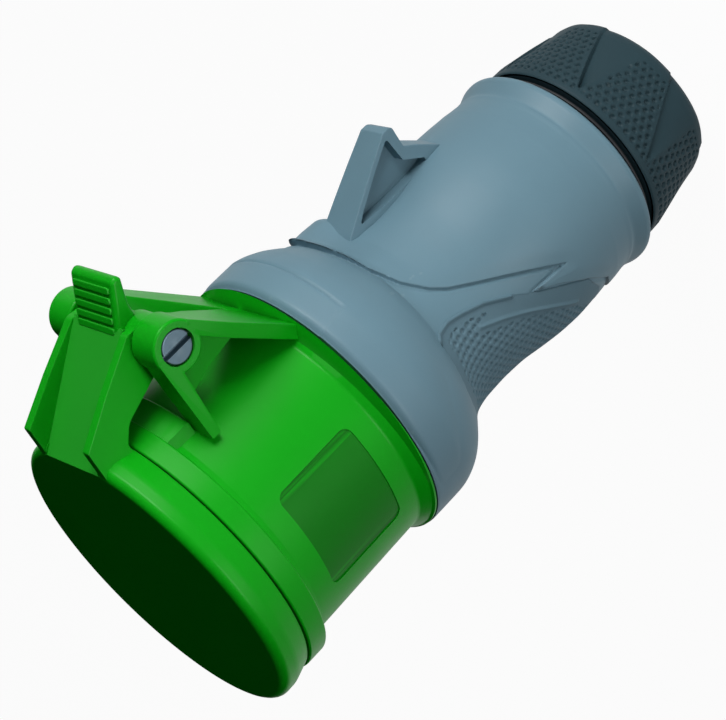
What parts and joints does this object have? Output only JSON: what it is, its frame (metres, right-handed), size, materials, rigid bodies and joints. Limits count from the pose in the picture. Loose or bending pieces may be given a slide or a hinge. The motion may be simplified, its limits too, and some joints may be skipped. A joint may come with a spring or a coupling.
{
  "type": "pin and sleeve connector",
  "caption": "Cable connector for round industrial plugs, with a sprung hinged lid, grip housing with dimpled inlays and hanging hook, and a faceted cable gland nut.",
  "frame": {"origin": "on the long axis, at the gland nut's end face", "axes": "+Z along the long axis towards the lid, which is the mating direction; +Y towards the lid's hinge; +X towards the slotted head of the hinge screw"},
  "size_m": [0.0884, 0.1206, 0.1923],
  "materials": {
    "green_shell": "fine satin moulded plastic",
    "grey_housing": "satin moulded plastic",
    "grip": "matt, dimpled",
    "dark_nut": "matt, dimpled",
    "carrier": "plain moulded",
    "seal": "matt",
    "brass": "turned",
    "steel": "zinc plated"
  },
  "bodies": {
    "housing": {"socket_shell": "green_shell", "hinge_screw": "steel", "lid_spring": "steel", "contact_carrier": "carrier", "carrier_plate": "carrier", "terminal_block": "carrier", "carrier_screws": "steel", "sleeve_phase_1": "brass", "sleeve_phase_2": "brass", "sleeve_phase_3": "brass", "sleeve_neutral": "brass", "sleeve_earth": "brass", "sleeve_rings": "steel", "terminal_screws": "steel", "grip_housing": "grey_housing", "gland_spigot": "grey_housing", "grip_pad_near": "grip", "grip_pad_far": "grip", "housing_seal": "seal", "gland_seal": "seal", "cable_sleeve": "seal", "clamp_cage": "carrier"},
    "lid": {"lid": "green_shell", "lid_seal": "seal"},
    "thrust": {"pressure_ring": "carrier"},
    "nut": {"gland_nut": "dark_nut", "nut_end": "dark_nut"}
  },
  "joints": [
    {"name": "lid_hinge", "type": "hinge", "parent": "housing", "child": "lid", "pos_m": [0, 0.0576, 0.1623], "axis": [-1, 0, 0], "range_deg": [0, 80], "stiffness_Nm_per_rad": 0.12, "springref_deg": -60.16, "deforming": ["lid_spring"]},
    {"name": "nut_travel", "type": "slide", "parent": "housing", "child": "thrust", "axis": [0, 0, -1], "range_m": [0, 0.008]},
    {"name": "nut_turn", "type": "hinge", "parent": "thrust", "child": "nut", "pos_m": [0, 0, 0.01], "axis": [0, 0, -1], "range_deg": [0, 960]}
  ],
  "couplings": [
    {"joint": "nut_travel", "follows": "nut_turn", "m_per_rad": 0.00047746}
  ]
}
